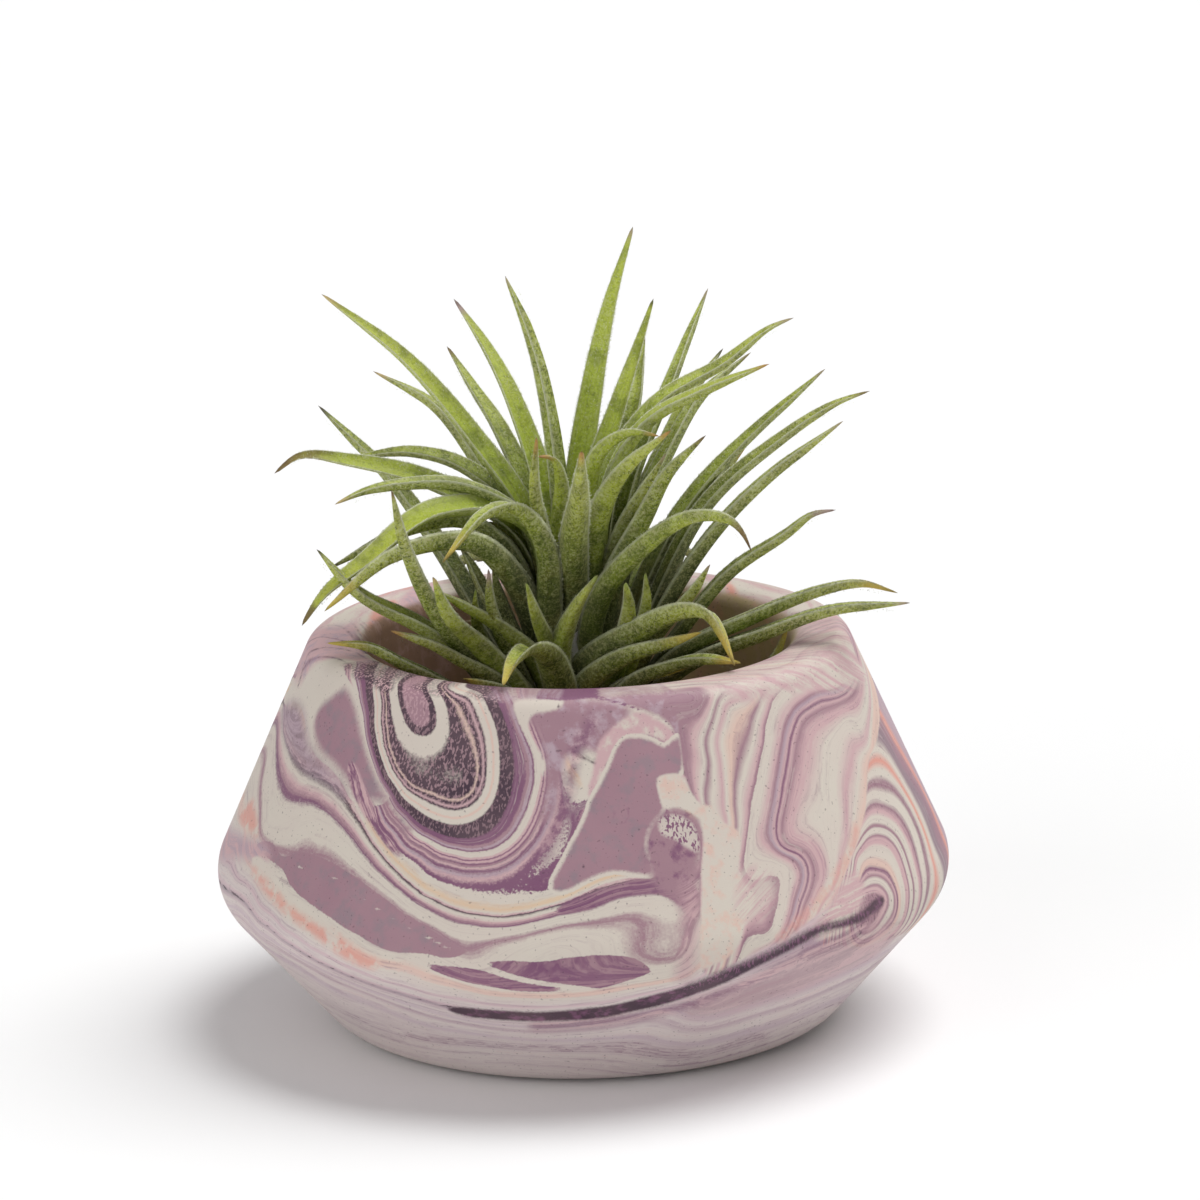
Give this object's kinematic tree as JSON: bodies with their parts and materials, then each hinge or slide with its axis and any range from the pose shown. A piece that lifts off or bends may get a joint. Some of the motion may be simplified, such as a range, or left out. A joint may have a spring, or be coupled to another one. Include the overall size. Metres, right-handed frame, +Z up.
{
  "type": "sky plant in a pot",
  "caption": "Small sky plant with narrow channelled leaves, standing in a round marbled cast pot with a wide belt and a thick lip.",
  "frame": {"origin": "centre of the flat foot of the pot", "axes": "+Z up along the pot's axis, -Y towards the pictured front, +X to the right in the picture"},
  "size_m": [0.11, 0.11, 0.1153],
  "materials": {
    "pot_cast": "smooth matte casting with a poured marbling in purple, mauve, peach and cream",
    "leaf": "green succulent leaf with a silvery bloom of fine scales, pale margins and brownish tips",
    "dry_plant": "dry brown woody foot with papery sheaths and wiry roots"
  },
  "bodies": {
    "root": {"pot": "pot_cast", "rosette": "leaf", "dry_base": "dry_plant"}
  },
  "joints": []
}
